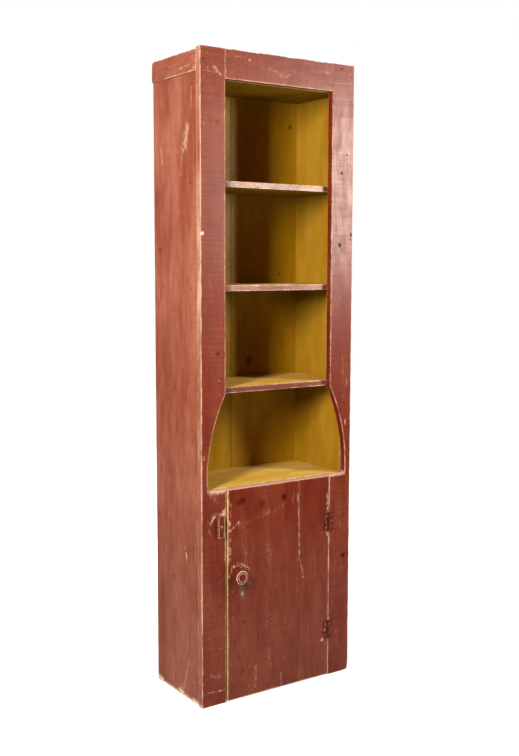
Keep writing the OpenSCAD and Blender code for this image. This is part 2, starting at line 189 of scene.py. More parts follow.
def pattern(tree, across, along, detail=3.0, low=0.36, high=0.64, clamp=True):
    """Mottling drawn out along a board's grain, whose patches are across x along, in millimetres."""
    grain = add(tree, "ShaderNodeAttribute", attribute_name="grain").outputs["Vector"]
    place = add(tree, "ShaderNodeVectorMath", [
        grain, (1 / (across * MM), 1 / (across * MM), 1 / (along * MM))], operation="MULTIPLY")
    mottle = add(tree, "ShaderNodeTexNoise", {
        "Vector": place, "Scale": 1.0, "Detail": detail, "Roughness": 0.6})
    return add(tree, "ShaderNodeMapRange", {
        "Value": mottle, "From Min": low, "From Max": high}, clamp=clamp)


# A mark is whole in its middle and fades over its half width, sooner where the paint crumbles.
MARK_START, MARK_FALL = 1.6, 0.65


def scraped(tree, scrapes, crumble):
    """How far scrapes have taken the paint off, from 0 to 1. Each runs from one place to another and
    has a half width in millimetres and a depth."""
    place = add(tree, "ShaderNodeTexCoord").outputs["Object"]
    firm = add(tree, "ShaderNodeMath", [MARK_START, crumble], operation="SUBTRACT")
    rubbed = 0.0
    for start, end, half, depth in scrapes:
        way = end - start
        step = way / way.length_squared
        from_start = add(tree, "ShaderNodeVectorMath", [place, start], operation="SUBTRACT")
        along = add(tree, "ShaderNodeVectorMath", [from_start, step], operation="DOT_PRODUCT")
        for limit, rule in ((0.0, "MAXIMUM"), (1.0, "MINIMUM")):
            along = add(tree, "ShaderNodeMath", [along, limit], operation=rule)
        nearest = add(tree, "ShaderNodeVectorMath", {0: way, "Scale": along}, operation="SCALE")
        off = add(tree, "ShaderNodeVectorMath", [from_start, nearest], operation="DISTANCE")
        fall = -MARK_FALL / (half * MM)
        inside = add(tree, "ShaderNodeMath", [off, fall, firm], operation="MULTIPLY_ADD")
        share = add(tree, "ShaderNodeMath", [inside, depth * 0.85], operation="MULTIPLY")
        share = add(tree, "ShaderNodeMath", [share, depth], operation="MINIMUM")
        rubbed = add(tree, "ShaderNodeMath", [rubbed, share], operation="MAXIMUM")
    return rubbed


def turned_marks(tree, arcs, crumble):
    """How far arcs have taken the paint off a front face. Each has a centre, a radius and a half
    width in millimetres, the angle of its middle and its half opening in degrees, and a depth."""
    place = add(tree, "ShaderNodeTexCoord").outputs["Object"]
    firm = add(tree, "ShaderNodeMath", [MARK_START, crumble], operation="SUBTRACT")
    rubbed = 0.0
    for centre, radius, half, middle, opening, depth in arcs:
        away = add(tree, "ShaderNodeVectorMath", [place, centre], operation="SUBTRACT")
        away = add(tree, "ShaderNodeVectorMath", [away, (1, 0, 1)], operation="MULTIPLY")
        off = add(tree, "ShaderNodeVectorMath", [away], operation="LENGTH")
        off = add(tree, "ShaderNodeMath", [off, radius * MM], operation="SUBTRACT")
        off = add(tree, "ShaderNodeMath", [off], operation="ABSOLUTE")
        fall = -MARK_FALL / (half * MM)
        inside = add(tree, "ShaderNodeMath", [off, fall, firm], operation="MULTIPLY_ADD")
        inside = add(tree, "ShaderNodeMath", [inside, 1.0], operation="MINIMUM")
        way = add(tree, "ShaderNodeVectorMath", [away], operation="NORMALIZE")
        towards = (math.cos(math.radians(middle)), 0, math.sin(math.radians(middle)))
        facing = add(tree, "ShaderNodeVectorMath", [way, towards], operation="DOT_PRODUCT")
        edge = math.cos(math.radians(opening))
        slope = depth / (math.cos(math.radians(opening * 0.6)) - edge)
        window = add(tree, "ShaderNodeMath", [facing, slope, -slope * edge], operation="MULTIPLY_ADD")
        for limit, rule in ((depth, "MINIMUM"), (0.0, "MAXIMUM")):
            window = add(tree, "ShaderNodeMath", [window, limit], operation=rule)
        share = add(tree, "ShaderNodeMath", [inside, window], operation="MULTIPLY")
        rubbed = add(tree, "ShaderNodeMath", [rubbed, share], operation="MAXIMUM")
    return rubbed


def knots_in(tree, knots, crumble):
    """The dark heart and rings of knots that show through the paint, from 0 to 1."""
    place = add(tree, "ShaderNodeTexCoord").outputs["Object"]
    dark = 0.0
    for centre, radius, depth in knots:
        off = add(tree, "ShaderNodeVectorMath", [place, centre], operation="DISTANCE")
        reach = add(tree, "ShaderNodeMath", [off, 1 / (radius * MM)], operation="MULTIPLY")
        ragged = add(tree, "ShaderNodeMath", [crumble, 0.35, reach], operation="MULTIPLY_ADD")
        heart = add(tree, "ShaderNodeMath", [ragged, -2 * depth, 2.5 * depth], operation="MULTIPLY_ADD")
        heart = add(tree, "ShaderNodeMath", [heart, depth], operation="MINIMUM")
        rings = reach
        for rule, *sizes in (("MULTIPLY", 11.0), ("SINE",), ("MULTIPLY_ADD", 0.22, 0.8)):
            rings = add(tree, "ShaderNodeMath", [rings, *sizes], operation=rule)
        heart = add(tree, "ShaderNodeMath", [heart, rings], operation="MULTIPLY")
        dark = add(tree, "ShaderNodeMath", [dark, heart], operation="MAXIMUM")
    return dark


def layered(tree, shader, base, coats):
    """Colours a shader: a base tone, with the tone of each coat laid over it by the coat's share."""
    colour = linear(base)
    for share, tone in coats:
        colour = add(tree, "ShaderNodeMix", {
            "Factor": share, "A": colour, "B": linear(tone)}, data_type="RGBA")
    tree.links.new(colour.outputs[2], shader.inputs["Base Color"])


def old_paint(name, top, faded, dark, primer, wood, roughness, gloss=0.12, scrapes=(), arcs=(),
              knots=(), smears=(), saw=0.5, grainy=1.0, height_tone=None):
    """Brushed oil paint on sawn pine, long dry: it has faded in clouds, lets the grain and the saw's
    marks through, and is rubbed to its primer and to the wood along the arrises. height_tone is a tone
    that comes in between two heights, up to a share. On the frame it is painted light: a paler red
    higher up, where the lamps light the front more."""
    material, tree, shader = new_material(name)
    clouds = pattern(tree, 90, 320)
    stains = pattern(tree, 24, 80)
    streaks = pattern(tree, 1.6, 70)
    grain = pattern(tree, 5.5, 210, low=0.4, high=0.62)
    crumble = pattern(tree, 2.6, 8, detail=5.0, low=0.25, high=0.75, clamp=False)
    scuffs = pattern(tree, 1.5, 24, detail=2.0, low=0.62, high=0.74)
    broken = pattern(tree, 5, 14, detail=5.0, low=0.4, high=0.6)
    grit = pattern(tree, 2.2, 3.5, detail=1.0, low=0.7, high=0.78)
    flecks = pattern(tree, 3.1, 4.6, detail=1.0, low=0.73, high=0.8)
    cuts = pattern(tree, 150, 4.2)

    rub = add(tree, "ShaderNodeAttribute", attribute_name="worn").outputs["Fac"]
    for share, size in ((crumble, 0.62), (clouds, 0.16), (scuffs, 0.26)):
        rub = add(tree, "ShaderNodeMath", [share, size, rub], operation="MULTIPLY_ADD")
    bite = add(tree, "ShaderNodeMath", [broken, 0.12], operation="ADD")
    for marks, taken_off in ((scrapes, scraped), (arcs, turned_marks)):
        if marks:
            taken = taken_off(tree, marks, crumble)
            rub = add(tree, "ShaderNodeMath", [taken, bite, rub], operation="MULTIPLY_ADD")
    thin, chipped, bare = [
        add(tree, "ShaderNodeMapRange", {"Value": rub, "From Min": low, "From Max": high, "To Max": most})
        for low, high, most in ((0.55, 1.0, 0.42), (0.96, 1.12, 1.0), (1.8, 2.1, 0.8))]

    smudge = add(tree, "ShaderNodeMath", [stains, 0.5 * grainy], operation="MULTIPLY")
    shade, lines, lengths, dirt, specks = [
        add(tree, "ShaderNodeMath", [share, size], operation="MULTIPLY")
        for share, size in ((streaks, smudge), (cuts, 0.26 * saw), (grain, 0.22 * grainy),
                            (grit, 0.5), (flecks, clouds))]
    coats = [(clouds, faded), (lengths, faded)]
    if height_tone:
        tone, begins, full, share = height_tone
        place = add(tree, "ShaderNodeTexCoord").outputs["Object"]
        height = add(tree, "ShaderNodeSeparateXYZ", {"Vector": place}).outputs["Z"]
        coats.append((add(tree, "ShaderNodeMapRange", {
            "Value": height, "From Min": begins, "From Max": full, "To Max": share}), tone))
    coats += [(shade, dark), (lines, dark), (dirt, dark), (specks, primer)]
    if knots:
        hearts = knots_in(tree, knots, crumble)
        coats.append((hearts, "1c0502"))
        shine = add(tree, "ShaderNodeMath", [hearts, -gloss, gloss], operation="MULTIPLY_ADD")
        tree.links.new(shine.outputs[0], shader.inputs["Specular IOR Level"])
    coats += [(thin, primer), (chipped, primer), (bare, wood)]
    coats += [(scraped(tree, marks, crumble), tone) for marks, tone in smears]
    layered(tree, shader, top, coats)

    dull, height = roughness, 0.0
    for share, size in ((chipped, 0.3), (stains, 0.1), (cuts, 0.03 * saw), (grain, 0.04)):
        dull = add(tree, "ShaderNodeMath", [share, size, dull], operation="MULTIPLY_ADD")
    tree.links.new(dull.outputs[0], shader.inputs["Roughness"])
    for share, size in ((streaks, 0.12), (cuts, 0.07 * saw), (broken, 0.22), (chipped, -0.6)):
        height = add(tree, "ShaderNodeMath", [share, size, height], operation="MULTIPLY_ADD")
    bump = add(tree, "ShaderNodeBump", {"Height": height, "Distance": 0.25 * MM, "Strength": 0.7})
    tree.links.new(bump.outputs[0], shader.inputs["Normal"])
    shader.inputs["Specular IOR Level"].default_value = gloss
    shader.inputs["Specular Tint"].default_value = linear("fff3e6")
    return material


def bare_board(name, pale, dark, grey):
    """Unpainted pine, dry and aged: brown streaks of grain, grey in clouds, no shine."""
    material, tree, shader = new_material(name)
    streaks = pattern(tree, 3.2, 160, detail=4.0)
    clouds = pattern(tree, 60, 300)
    cuts = pattern(tree, 260, 3.6, detail=2.0)
    greyed = add(tree, "ShaderNodeMath", [clouds, 0.5], operation="MULTIPLY")
    layered(tree, shader, pale, ((streaks, dark), (greyed, grey)))
    shader.inputs["Roughness"].default_value = 0.75
    shader.inputs["Specular IOR Level"].default_value = 0.3
    height = add(tree, "ShaderNodeMath", [streaks, cuts], operation="ADD")
    bump = add(tree, "ShaderNodeBump", {"Height": height, "Distance": 0.25 * MM, "Strength": 0.6})
    tree.links.new(bump.outputs[0], shader.inputs["Normal"])
    return material


# Places nearer to each other than NEAR count as one, and a fold of more than SHARP is an arris.
NEAR = 1e-6
SHARP = math.radians(35)


def lattice(low, high, pitch, cuts=()):
    """Places across a board: both edges, a margin inside each, the cuts, and steps of one pitch."""
    margin = min(4.5 * MM, (high - low) / 3)
    places = sorted({round(p, 6) for p in (low, low + margin, *cuts, high - margin, high)})
    filled = places[:1]
    for place in places[1:]:
        steps = math.ceil((place - filled[-1]) / pitch - NEAR)
        start = filled[-1]
        filled += [start + (place - start) * (i + 1) / steps for i in range(steps)]
    return filled


def draw_cells(mesh, lines, solid, shape):
    """Draws the outside of the cells between the lines, without those that aren't solid, so that
    dadoes and rabbets are real. shape moves the corners."""
    cells = set()
    for i in range(len(lines[0]) - 1):
        for j in range(len(lines[1]) - 1):
            for k in range(len(lines[2]) - 1):
                middle = Vector([(lines[a][n] + lines[a][n + 1]) / 2 for a, n in enumerate((i, j, k))])
                if solid is None or solid(middle):
                    cells.add((i, j, k))
    corners = {}

    def corner(key):
        """The vertex at a corner of the lattice, shared by all the faces there."""
        if key not in corners:
            place = Vector([lines[a][key[a]] for a in range(3)])
            corners[key] = mesh.verts.new(shape(place) if shape else place)
        return corners[key]

    for cell in cells:
        for axis in range(3):
            for side in (0, 1):
                beside = list(cell)
                beside[axis] += 2 * side - 1
                if tuple(beside) in cells:
                    continue
                loop = []
                for u, v in ((0, 0), (1, 0), (1, 1), (0, 1)):
                    key = list(cell)
                    key[axis] += side
                    key[(axis + 1) % 3] += u
                    key[(axis + 2) % 3] += v
                    loop.append(corner(tuple(key)))
                mesh.faces.new(loop if side else loop[::-1])


def ease_arrises(mesh, low, high, arris, arrises):
    """Rounds a board's arrises, the outer ones or all, and returns the vertices on them."""
    mesh.normal_update()

    def is_outer(edge):
        """Whether an edge is one of the board's own twelve."""
        middle = (edge.verts[0].co + edge.verts[1].co) / 2
        on = [a for a in range(3) if min(middle[a] - low[a], high[a] - middle[a]) < 0.1 * MM]
        return len(on) >= 2

    folded = [e for e in mesh.edges if e.is_convex and e.calc_face_angle() > SHARP]
    eased = [e for e in folded if arrises == "all" or is_outer(e)]
    made = bmesh.ops.bevel(mesh, geom=eased, offset=arris * MM, segments=3, profile=0.5,
                           affect="EDGES", clamp_overlap=True)
    mesh.normal_update()
    for edge in mesh.edges:
        edge.smooth = edge.calc_face_angle(0) < SHARP
    return {v for f in made["faces"] for v in f.verts}


def sawn_board(name, along, materials, coat, cuts=((), (), ()), solid=None, shape=None,
               arris=1.2, arrises="outer", wear=0.6, rubbed=None, dents=(), ragged=0.0,
               pitch=(12, 24)):
    """A board in the place of the CAD node called name. It is drawn in cells, its arrises are eased
    and knocked about, and its faces wave a little inside the true ones. The grain attribute runs
    along the board, and worn is 1 on an arris. along is the axis of the grain, and coat picks a
    material for a face from its middle and normal. ragged is how far the saw and time have bitten
    into the upper edge, in millimetres."""
    low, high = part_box(name)
    lines = [lattice(low[a], high[a], (pitch[0] if a == along else pitch[1]) * MM, cuts[a])
             for a in range(3)]
    mesh = bmesh.new()
    grain_layer = mesh.verts.layers.float_vector.new("grain")
    worn_layer = mesh.verts.layers.float.new("worn")
    draw_cells(mesh, lines, solid, shape)
    on_arris = ease_arrises(mesh, low, high, arris, arrises)

    own = Vector((sum(map(ord, name)) % 97, sum(map(ord, name[::2])) % 89, len(name))) * 0.37
    order = [(2, 1, 0), (0, 2, 1), (0, 1, 2)][along]
    wave_pitch, knock_pitch, bite_pitch = 70 * MM, 22 * MM, 13 * MM
    moved = {}
    for v in mesh.verts:
        at = v.co + own
        wave = noise.noise(at / wave_pitch) * 0.5 + 0.5
        knocked = noise.noise(at / knock_pitch) * 0.5 + 0.5
        depth = 0.12 + 0.2 * wave
        use = 0.0
        if v in on_arris:
            here = wear(v.co) if callable(wear) else wear
            use = here * (0.35 + 1.5 * knocked)
            depth += 1.1 * here * max(0.0, knocked - 0.35)
        if rubbed:
            use = max(use, rubbed(v.co))
        v[grain_layer] = Vector([v.co[a] for a in order]) + own
        v[worn_layer] = use
        moved[v] = v.co - v.normal * depth * MM
        if ragged and v.co.z > high.z - 4 * MM:
            bitten = noise.noise(Vector((v.co.x, v.co.y, 0)) / bite_pitch) + 0.15
            moved[v] = moved[v] - Vector((0, 0, 1.6 * ragged * max(0.0, bitten) * MM))
        for centre, radius, pull in dents:
            near = 1 - min(1.0, (v.co - centre).length / (radius * MM))
            moved[v] = moved[v] + Vector(pull) * MM * near * near * (3 - 2 * near)
    for face in mesh.faces:
        face.material_index = coat(face.calc_center_median(), face.normal)
        face.smooth = True
    for v, place in moved.items():
        v.co = place
    data = bpy.data.meshes.new(name + "_board")
    mesh.to_mesh(data)
    mesh.free()
    for material in materials:
        data.materials.append(material)
    board = placed(name + "_board", data)
    board.modifiers.new("flat_faces", "WEIGHTED_NORMAL").keep_sharp = True
    return board


def put(piece, body, slot, *replaced):
    """Hands a finished piece over to its CAD body."""
    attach(piece, body)
    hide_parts(*replaced)


side_inset = 4


def side_scrapes(inset, *marks):
    """Scrapes on a face to the left, inset from the left edge. Each runs from one depth and height
    to another, in millimetres."""
    return [(spot(inset, y, z), spot(inset, to_y, to_z), half, depth)
            for y, z, to_y, to_z, half, depth in marks]


RED = {"top": "591301", "faded": "6a2813", "dark": "340701", "primer": "ac8268", "wood": "86623f"}
# The sides, the top strips and the stiles' outer faces take a paler red than the front: faded paint, and
# painted light too, for those faces are lit more than the front.
FADED_RED_WITH_PAINTED_LIGHT = {"top": "7a3822", "faded": "94553f", "dark": "49150b", "primer": "a8846a", "wood": "866246"}
YELLOW = {"top": "865e0e", "faded": "956d1b", "dark": "4d3203", "primer": "ac9862", "wood": "6e5434"}
side_marks = side_scrapes(
    side_inset,
    (76, 1698, 93, 1636, 9, 1.6), (96, 1672, 99, 1622, 8, 0.9), (105, 1652, 117, 1560, 6, 0.7),
    (62, 1640, 56, 1500, 3, 0.4), (231, 1645, 225, 1600, 6, 0.9), (215, 1480, 205, 1400, 3, 0.4),
    (54, 1800, 56, 1743, 5, 0.75), (60, 1765, 84, 1700, 3, 0.4), (45, 1720, 40, 1560, 3, 0.4),
    (128, 1745, 100, 1660, 2.6, 0.45), (104, 462, 92, 430, 5, 1.2), (45, 490, 39, 430, 3, 0.8),
    (251, 1230, 250, 1195, 3, 0.7), (253, 1084, 253, 1048, 3, 0.7), (84, 123, 100, 70, 3.5, 0.8),
    (100, 70, 121, 12, 5, 0.8), (127, 30, 127, 8, 5, 0.8), (60, 60, 44, 20, 4, 0.6),
    (180, 60, 176, 22, 4, 0.6), (68, 330, 60, 250, 2.6, 0.45), (20, 700, 16, 560, 3, 0.5),
    (150, 700, 146, 640, 2.6, 0.4), (230, 640, 226, 560, 2.6, 0.4), (70, 220, 68, 180, 3, 0.5),
    (248, 215, 240, 150, 8, 0.35), (220, 100, 214, 30, 3, 0.5), (20, 520, 18, 330, 3, 0.5),
    (34, 700, 33, 600, 2.6, 0.55), (35, 560, 34, 480, 3, 0.6), (34, 300, 32, 190, 2.6, 0.5),
    (264, 700, 265, 560, 3, 0.5), (262, 400, 258, 270, 4, 0.4), (66, 1751, 60, 1720, 4, 0.6))
# Pale chips along the foot, and a dark crack that rises from it.
side_smears = [
    (side_scrapes(side_inset, (268, 9, 246, 6, 6, 0.95), (242, 3, 150, 3, 4, 0.6),
                  (140, 10, 120, 7, 6, 0.9), (112, 4, 70, 3, 4, 0.7), (58, 7, 8, 3, 5, 0.9)), "dcc8ae"),
    (side_scrapes(side_inset, (60, 292, 74, 205, 1.3, 0.7), (74, 205, 86, 128, 1.3, 0.7)), "3e160e")]
side_knots = [(spot(side_inset, y, z), radius, depth) for y, z, radius, depth in (
    (242, 1347, 9, 0.5), (171, 360, 9, 0.5), (44, 341, 6, 0.5), (157, 941, 4, 0.6),
    (93, 912, 4, 0.6), (51, 1809, 3.5, 0.9), (59, 790, 4, 0.7))]
# The side's red turns darker and browner below 0.9 m, most at its foot.
red_side = old_paint("barn_red_oil_paint_on_side", roughness=0.42, scrapes=side_marks, knots=side_knots,
                     smears=side_smears, saw=0.4, height_tone=("5a2b1d", 0.9, 0.4, 0.3), **FADED_RED_WITH_PAINTED_LIGHT)
mustard = old_paint("mustard_oil_paint", roughness=0.45, gloss=0.12, saw=0.3, grainy=0.25, **YELLOW)
pine = bare_board("aged_bare_pine", "a98458", "80592f", "8c8070")


def in_carcass(p, n):
    """Which coat a side board's face has: 0 red outside and behind, 1 mustard inside, 2 bare."""
    outward = n.x if p.x > 0 else -n.x
    if outward > 0.4 or (n.y > 0.5 and p.y > back_face - 4 * MM):
        return 0
    return 1 if outward < -0.5 and p.z > counter_top and abs(n.x) > 0.5 else 2


def side_wear(p):
    """The foot has been kicked. The upper end, under the strip, and the joint in front are sheltered."""
    if p.z < 3 * MM:
        return 0.85
    return 0.22 if p.z > strip_foot - 3 * MM else 0.4 if p.y < frame_back + 3 * MM else 0.6


dadoes = [(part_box(name)[0].z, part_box(name)[1].z) for name in SHELVES]
shelf_ends = [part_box("counter_shelf")[0].x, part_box("counter_shelf")[1].x]
rabbet_edges = [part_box("back_board_left")[0].x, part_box("back_board_right")[1].x]


def side_solid(p):
    """Whether a place is inside a side board: outside its dadoes and its rabbet."""
    in_shelf = shelf_ends[0] < p.x < shelf_ends[1]
    dado = any(foot < p.z < top for foot, top in dadoes)
    rabbet = rabbet_edges[0] < p.x < rabbet_edges[1] and p.y > back_front
    return not (in_shelf and dado) and not rabbet


for node in ("left_side", "right_side"):
    low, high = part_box(node)
    inside = [x for x in (*shelf_ends, *rabbet_edges) if low.x < x < high.x]
    side = sawn_board(node, 2, [red_side, mustard, pine], in_carcass,
                      cuts=(inside, [back_front], [z for dado in dadoes for z in dado]),
                      solid=side_solid, wear=side_wear)
    put(side, "carcass", "red_paint", node)

# The two back boards, nailed into the rabbets and to the shelves. The face towards the shelves is
# mustard above the counter. Behind, in the tray and in the low cupboard they were never painted.
back_depth = 262
back_knots = [(spot(x, back_depth, z), radius, depth) for x, z, radius, depth in (
    (456, 1273, 7, 0.6), (497, 1747, 9, 0.6), (337, 997, 15, 0.7))]
YELLOW_BACK = {**YELLOW, "top": "8e6509", "faded": "9e7413", "dark": "3c2404"}
# A dark line down the back boards' joint: dirt, and painted shade of the gap between the boards.
joint_dirt_and_shade = [([(spot(269, back_depth, 650), spot(269, back_depth, 1821), 1.3, 0.8)], "1e1203")]
mustard_back = old_paint("mustard_oil_paint_on_back", roughness=0.3, gloss=0.08, knots=back_knots,
                         smears=joint_dirt_and_shade, saw=0.4, grainy=0.5, **YELLOW_BACK)
well_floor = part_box("top_board")[1].z
back_joint = (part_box("back_board_left")[1].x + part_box("back_board_right")[0].x) / 2


def butted(p):
    """Moves the back boards' edges over each other at their joint, so that no light comes through
    once their faces have been waved."""
    if abs(p.x - back_joint) > MM:
        return p
    return Vector((back_joint + math.copysign(0.15 * MM, back_joint - p.x), p.y, p.z))


for node in ("back_board_left", "back_board_right"):
    back = sawn_board(node, 2, [mustard_back, pine],
                      lambda p, n: 0 if n.y < 0.5 and counter_top < p.z < well_floor else 1,
                      cuts=((), (), [counter_top, well_floor]), shape=butted, arris=0.8,
                      wear=lambda p: 0.1 if abs(p.x - back_joint) > 5 * MM else 0.0)
    put(back, "carcass", "mustard_paint", node)

# The face frame's stiles, nailed to the front edges of the sides. Each was sawn to a long curve
# over the counter, and its ledge there is worn to the primer. The door hangs on the right one.
narrow_width = 21 * MM
curve_foot = counter_top + 30 * MM
curve_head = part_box("lower_shelf")[0].z
stile_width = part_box("left_stile")[1].x - left_edge
curve_reach = stile_width - narrow_width
curve_radius = (curve_reach ** 2 + (curve_head - curve_foot) ** 2) / (2 * curve_reach)
stile_margin = 6 * MM
grip_height, grip_reach = 1.22, 0.4
grip_patch = Vector((0, 30 * MM, 130 * MM))
rail_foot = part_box("top_rail")[0].z
BUTTON_SCREW = (62, 0, 542)


def front_scrapes(*marks):
    """Scrapes on the front, each from one place and height to another, in millimetres."""
    return [(spot(x, 0, z), spot(to_x, 0, to_z), half, depth) for x, z, to_x, to_z, half, depth in marks]


def front_knots(*knots):
    """Knots on the front, each with its place across and height, its radius and its depth of tone."""
    return [(spot(x, 0, z), radius, depth) for x, z, radius, depth in knots]


button_scrapes = front_scrapes(
    (97, 523, 128, 545, 4.4, 0.8), (78, 581, 84, 590, 6, 0.8), (96, 600, 97, 545, 7, 0.8),
    (97, 500, 97, 436, 5, 0.9), (83, 520, 82, 440, 4, 0.9), (100, 520, 106, 480, 5, 0.6))
stile_arcs = [(spot(*BUTTON_SCREW), *mark) for mark in (
    (35, 4.4, 112, 66, 0.9), (43, 3.0, 140, 46, 0.7), (38, 3.0, 205, 36, 0.6), (46, 3.4, 62, 22, 0.8))]
frame_marks = button_scrapes + front_scrapes(
    (26, 1846, 50, 1848, 5, 0.45), (48, 1850, 66, 1833, 6, 0.8), (10, 1838, 60, 1836, 2, 0.55),
    (90, 1885, 150, 1888, 2.4, 0.4), (164, 1883, 166, 1882, 4.5, 0.85), (234, 1862, 262, 1858, 8, 0.42),
    (275, 1852, 304, 1850, 9, 0.5), (300, 1846, 306, 1845, 5, 0.7), (421, 1876, 452, 1876, 3.4, 0.75),
    (440, 1888, 455, 1868, 4, 0.4), (470, 1847, 538, 1850, 2.2, 0.75),
    (1, 1390, 8, 1391, 4, 1.0), (9, 45, 79, 41, 2.4, 0.85),
    (30, 95, 58, 88, 8, 0.45), (532, 945, 532, 930, 3.5, 0.8),
    (527, 820, 527, 804, 3.5, 1.0), (9, 753, 10, 746, 3, 0.8), (30, 640, 46, 622, 10, 0.5),
    (70, 641, 40, 638, 6, 0.6), (459, 470, 462, 456, 5, 1.0), (469, 186, 469, 168, 3.4, 0.9),
    (466, 640, 465, 560, 3, 0.6), (467, 460, 466, 200, 1.8, 0.5), (466, 120, 466, 20, 2.4, 0.5),
    (505, 1320, 508, 1160, 4, 0.32), (520, 1500, 522, 1420, 6, 0.32), (500, 1560, 504, 1480, 7, 0.32),
    (515, 1020, 517, 960, 4, 0.32), (60, 1560, 64, 1450, 4, 0.25), (30, 1300, 34, 1180, 4, 0.25),
    (60, 420, 62, 300, 4, 0.3), (510, 560, 512, 480, 4, 0.3), (500, 150, 502, 90, 4, 0.35))
frame_knots = front_knots(
    (57, 1049, 8, 0.6), (525, 383, 9, 0.9), (503, 1582, 6, 1.0), (499, 1364, 8, 1.0),
    (543, 1396, 7, 1.0), (499, 1891, 5, 0.8), (522, 1638, 5, 0.7), (540, 1382, 4, 0.9),
    (57, 1700, 7, 0.4), (507, 1350, 5, 0.6))
# A pale nick in the left stile's edge, and a thin dark line across the head of the right stile.
frame_smears = [(front_scrapes((0, 1389.5, 7, 1391.5, 4, 0.95)), "b8b2ac"),
                (front_scrapes((468, 1787, 547, 1789, 1.4, 0.7)), "2c0a05")]
# The frame's red turns paler from 0.9 m up to 1.6 m. This is painted light, for the lamps that light the
# upper front more.
red_frame = old_paint("barn_red_oil_paint_on_frame", roughness=0.28, gloss=0.225, scrapes=frame_marks,
                      arcs=stile_arcs, knots=frame_knots, smears=frame_smears, saw=1.4,
                      height_tone=("7a3418", 0.9, 1.6, 0.35), **RED)


def inner_edge(z):
    """How wide a stile is at a height."""
    if z <= counter_top or z >= curve_head:
        return stile_width
    if z <= curve_foot:
        return narrow_width
    return narrow_width + curve_radius - math.sqrt(curve_radius ** 2 - (z - curve_foot) ** 2)


def stile_board(node, outer, towards, dents):
    """A stile, drawn from its outer edge. towards is 1 where the bays lie at +X of it, and else -1."""

    def across(p):
        """How far a place is from the outer edge."""
        return (p.x - outer) * towards

    def solid(p):
        """Whether a cell is in the stile: above the counter only the narrow columns are."""
        return p.z < counter_top or across(p) < narrow_width

    def curved(p):
        """Spreads the narrow columns over the stile's width above the counter."""
        reach = across(p)
        if p.z > counter_top + NEAR and stile_margin < reach < narrow_width - stile_margin:
            share = (reach - stile_margin) / (narrow_width - 2 * stile_margin)
            reach = stile_margin + share * (inner_edge(p.z) - 2 * stile_margin)
        elif p.z > counter_top + NEAR and reach >= narrow_width - stile_margin - NEAR:
            reach = inner_edge(p.z) - narrow_width + reach
        return Vector((outer + reach * towards, p.y, p.z))

    def arris_wear(p):
        """The outer arris is rubbed most, and the one along the rail least."""
        if across(p) < 3 * MM:
            return 0.66
        return 0.4 if p.z > rail_foot else 0.52

    def face_wear(p):
        """The ledge level with the counter is rubbed bare, and the outer face where hands hold it."""
        if abs(p.z - counter_top) < 2 * MM and across(p) > narrow_width - MM:
            return 0.95
        knocked = noise.noise(Vector((0, p.y / grip_patch.y, p.z / grip_patch.z)))
        handled = max(0.0, 1 - abs(p.z - grip_height) / grip_reach)
        return 0.36 + 0.4 * handled + 0.6 * knocked if across(p) < 0.5 * MM else 0.0

    def coat(p, n):
        """3 faded red outside, paler as painted light too, 0 red in front, 1 mustard where it faces the
        bays, 2 bare behind.
        """
        if n.x * towards < -0.7:
            return 3
        if n.y < 0.5 and n.z > -0.7 or across(p) < 4 * MM:
            return 0
        return 1 if counter_top < p.z < well_floor else 2

    columns = [outer + towards * x for x in (
        stile_margin, narrow_width / 2, narrow_width - stile_margin, narrow_width)]
    return sawn_board(node, 2, [red_frame, mustard, pine, red_side], coat,
                      cuts=(columns, (), [counter_top, curve_foot, curve_head, well_floor]),
                      solid=solid, shape=curved, arrises="all", wear=arris_wear, rubbed=face_wear,
                      dents=dents)


right_foot_dent = (spot(549, 11, 0), 30, (-3.5, 0, 3.0))
for node, outer, towards, dents in (("left_stile", left_edge, 1, ()),
                                    ("right_stile", right_edge, -1, (right_foot_dent,))):
    put(stile_board(node, outer, towards, dents), "carcass", "red_paint", node)

# The top rail, a pine board between the stiles and level with their tops, nailed to the top board.
# Its upper edge is ragged and its lower arris worn pale.
rail = sawn_board("top_rail", 0, [red_frame, pine], lambda p, n: 0 if n.y < 0.5 else 1, arris=0.9,
                  wear=lambda p: 0.62 if p.z < rail_foot + 3 * MM else 0.36, ragged=2.2)
put(rail, "carcass", "red_paint", "top_rail")

# The top strips, short pine boards on edge over the sides, nailed in place. They hide the top
# board's ends, and the left one has lost its rear corner.
strip_marks = side_scrapes(
    0, (2, 1843, 70, 1842, 3, 1.1), (12, 1848, 40, 1850, 4, 1.0), (70, 1843, 200, 1841, 2, 0.9),
    (60, 1860, 110, 1857, 4, 0.8), (130, 1870, 180, 1868, 3, 0.5), (40, 1890, 46, 1860, 2, 0.6))
red_plain = old_paint("faded_barn_red_oil_paint_with_painted_light", roughness=0.42, scrapes=strip_marks, saw=0.5,
                      **FADED_RED_WITH_PAINTED_LIGHT)


def strip_solid(p):
    """Whether a place is in a strip, outside the notch for the back boards."""
    return p.y < back_front or abs(p.x) > rabbet_edges[1]


def strip_coat(p, n):
    """0 red outside and on top, 1 bare below and towards the tray."""
    outward = n.x if p.x > 0 else -n.x
    return 0 if outward > -0.4 and n.z > -0.5 else 1


left_corner_dent = (spot(0, 277, 1900), 16, (0, -2.5, -2.5))
for node, strip_back, dents in (("left_top_strip", rabbet_edges[0], (left_corner_dent,)),
                                ("right_top_strip", rabbet_edges[1], ())):
    strip = sawn_board(node, 1, [red_plain, pine], strip_coat,
                       cuts=([strip_back], [back_front], ()), solid=strip_solid,
                       wear=lambda p: 0.3 if p.z < strip_foot + 3 * MM else 0.5,
                       dents=dents, ragged=2.2)
    put(strip, "carcass", "red_paint", node)
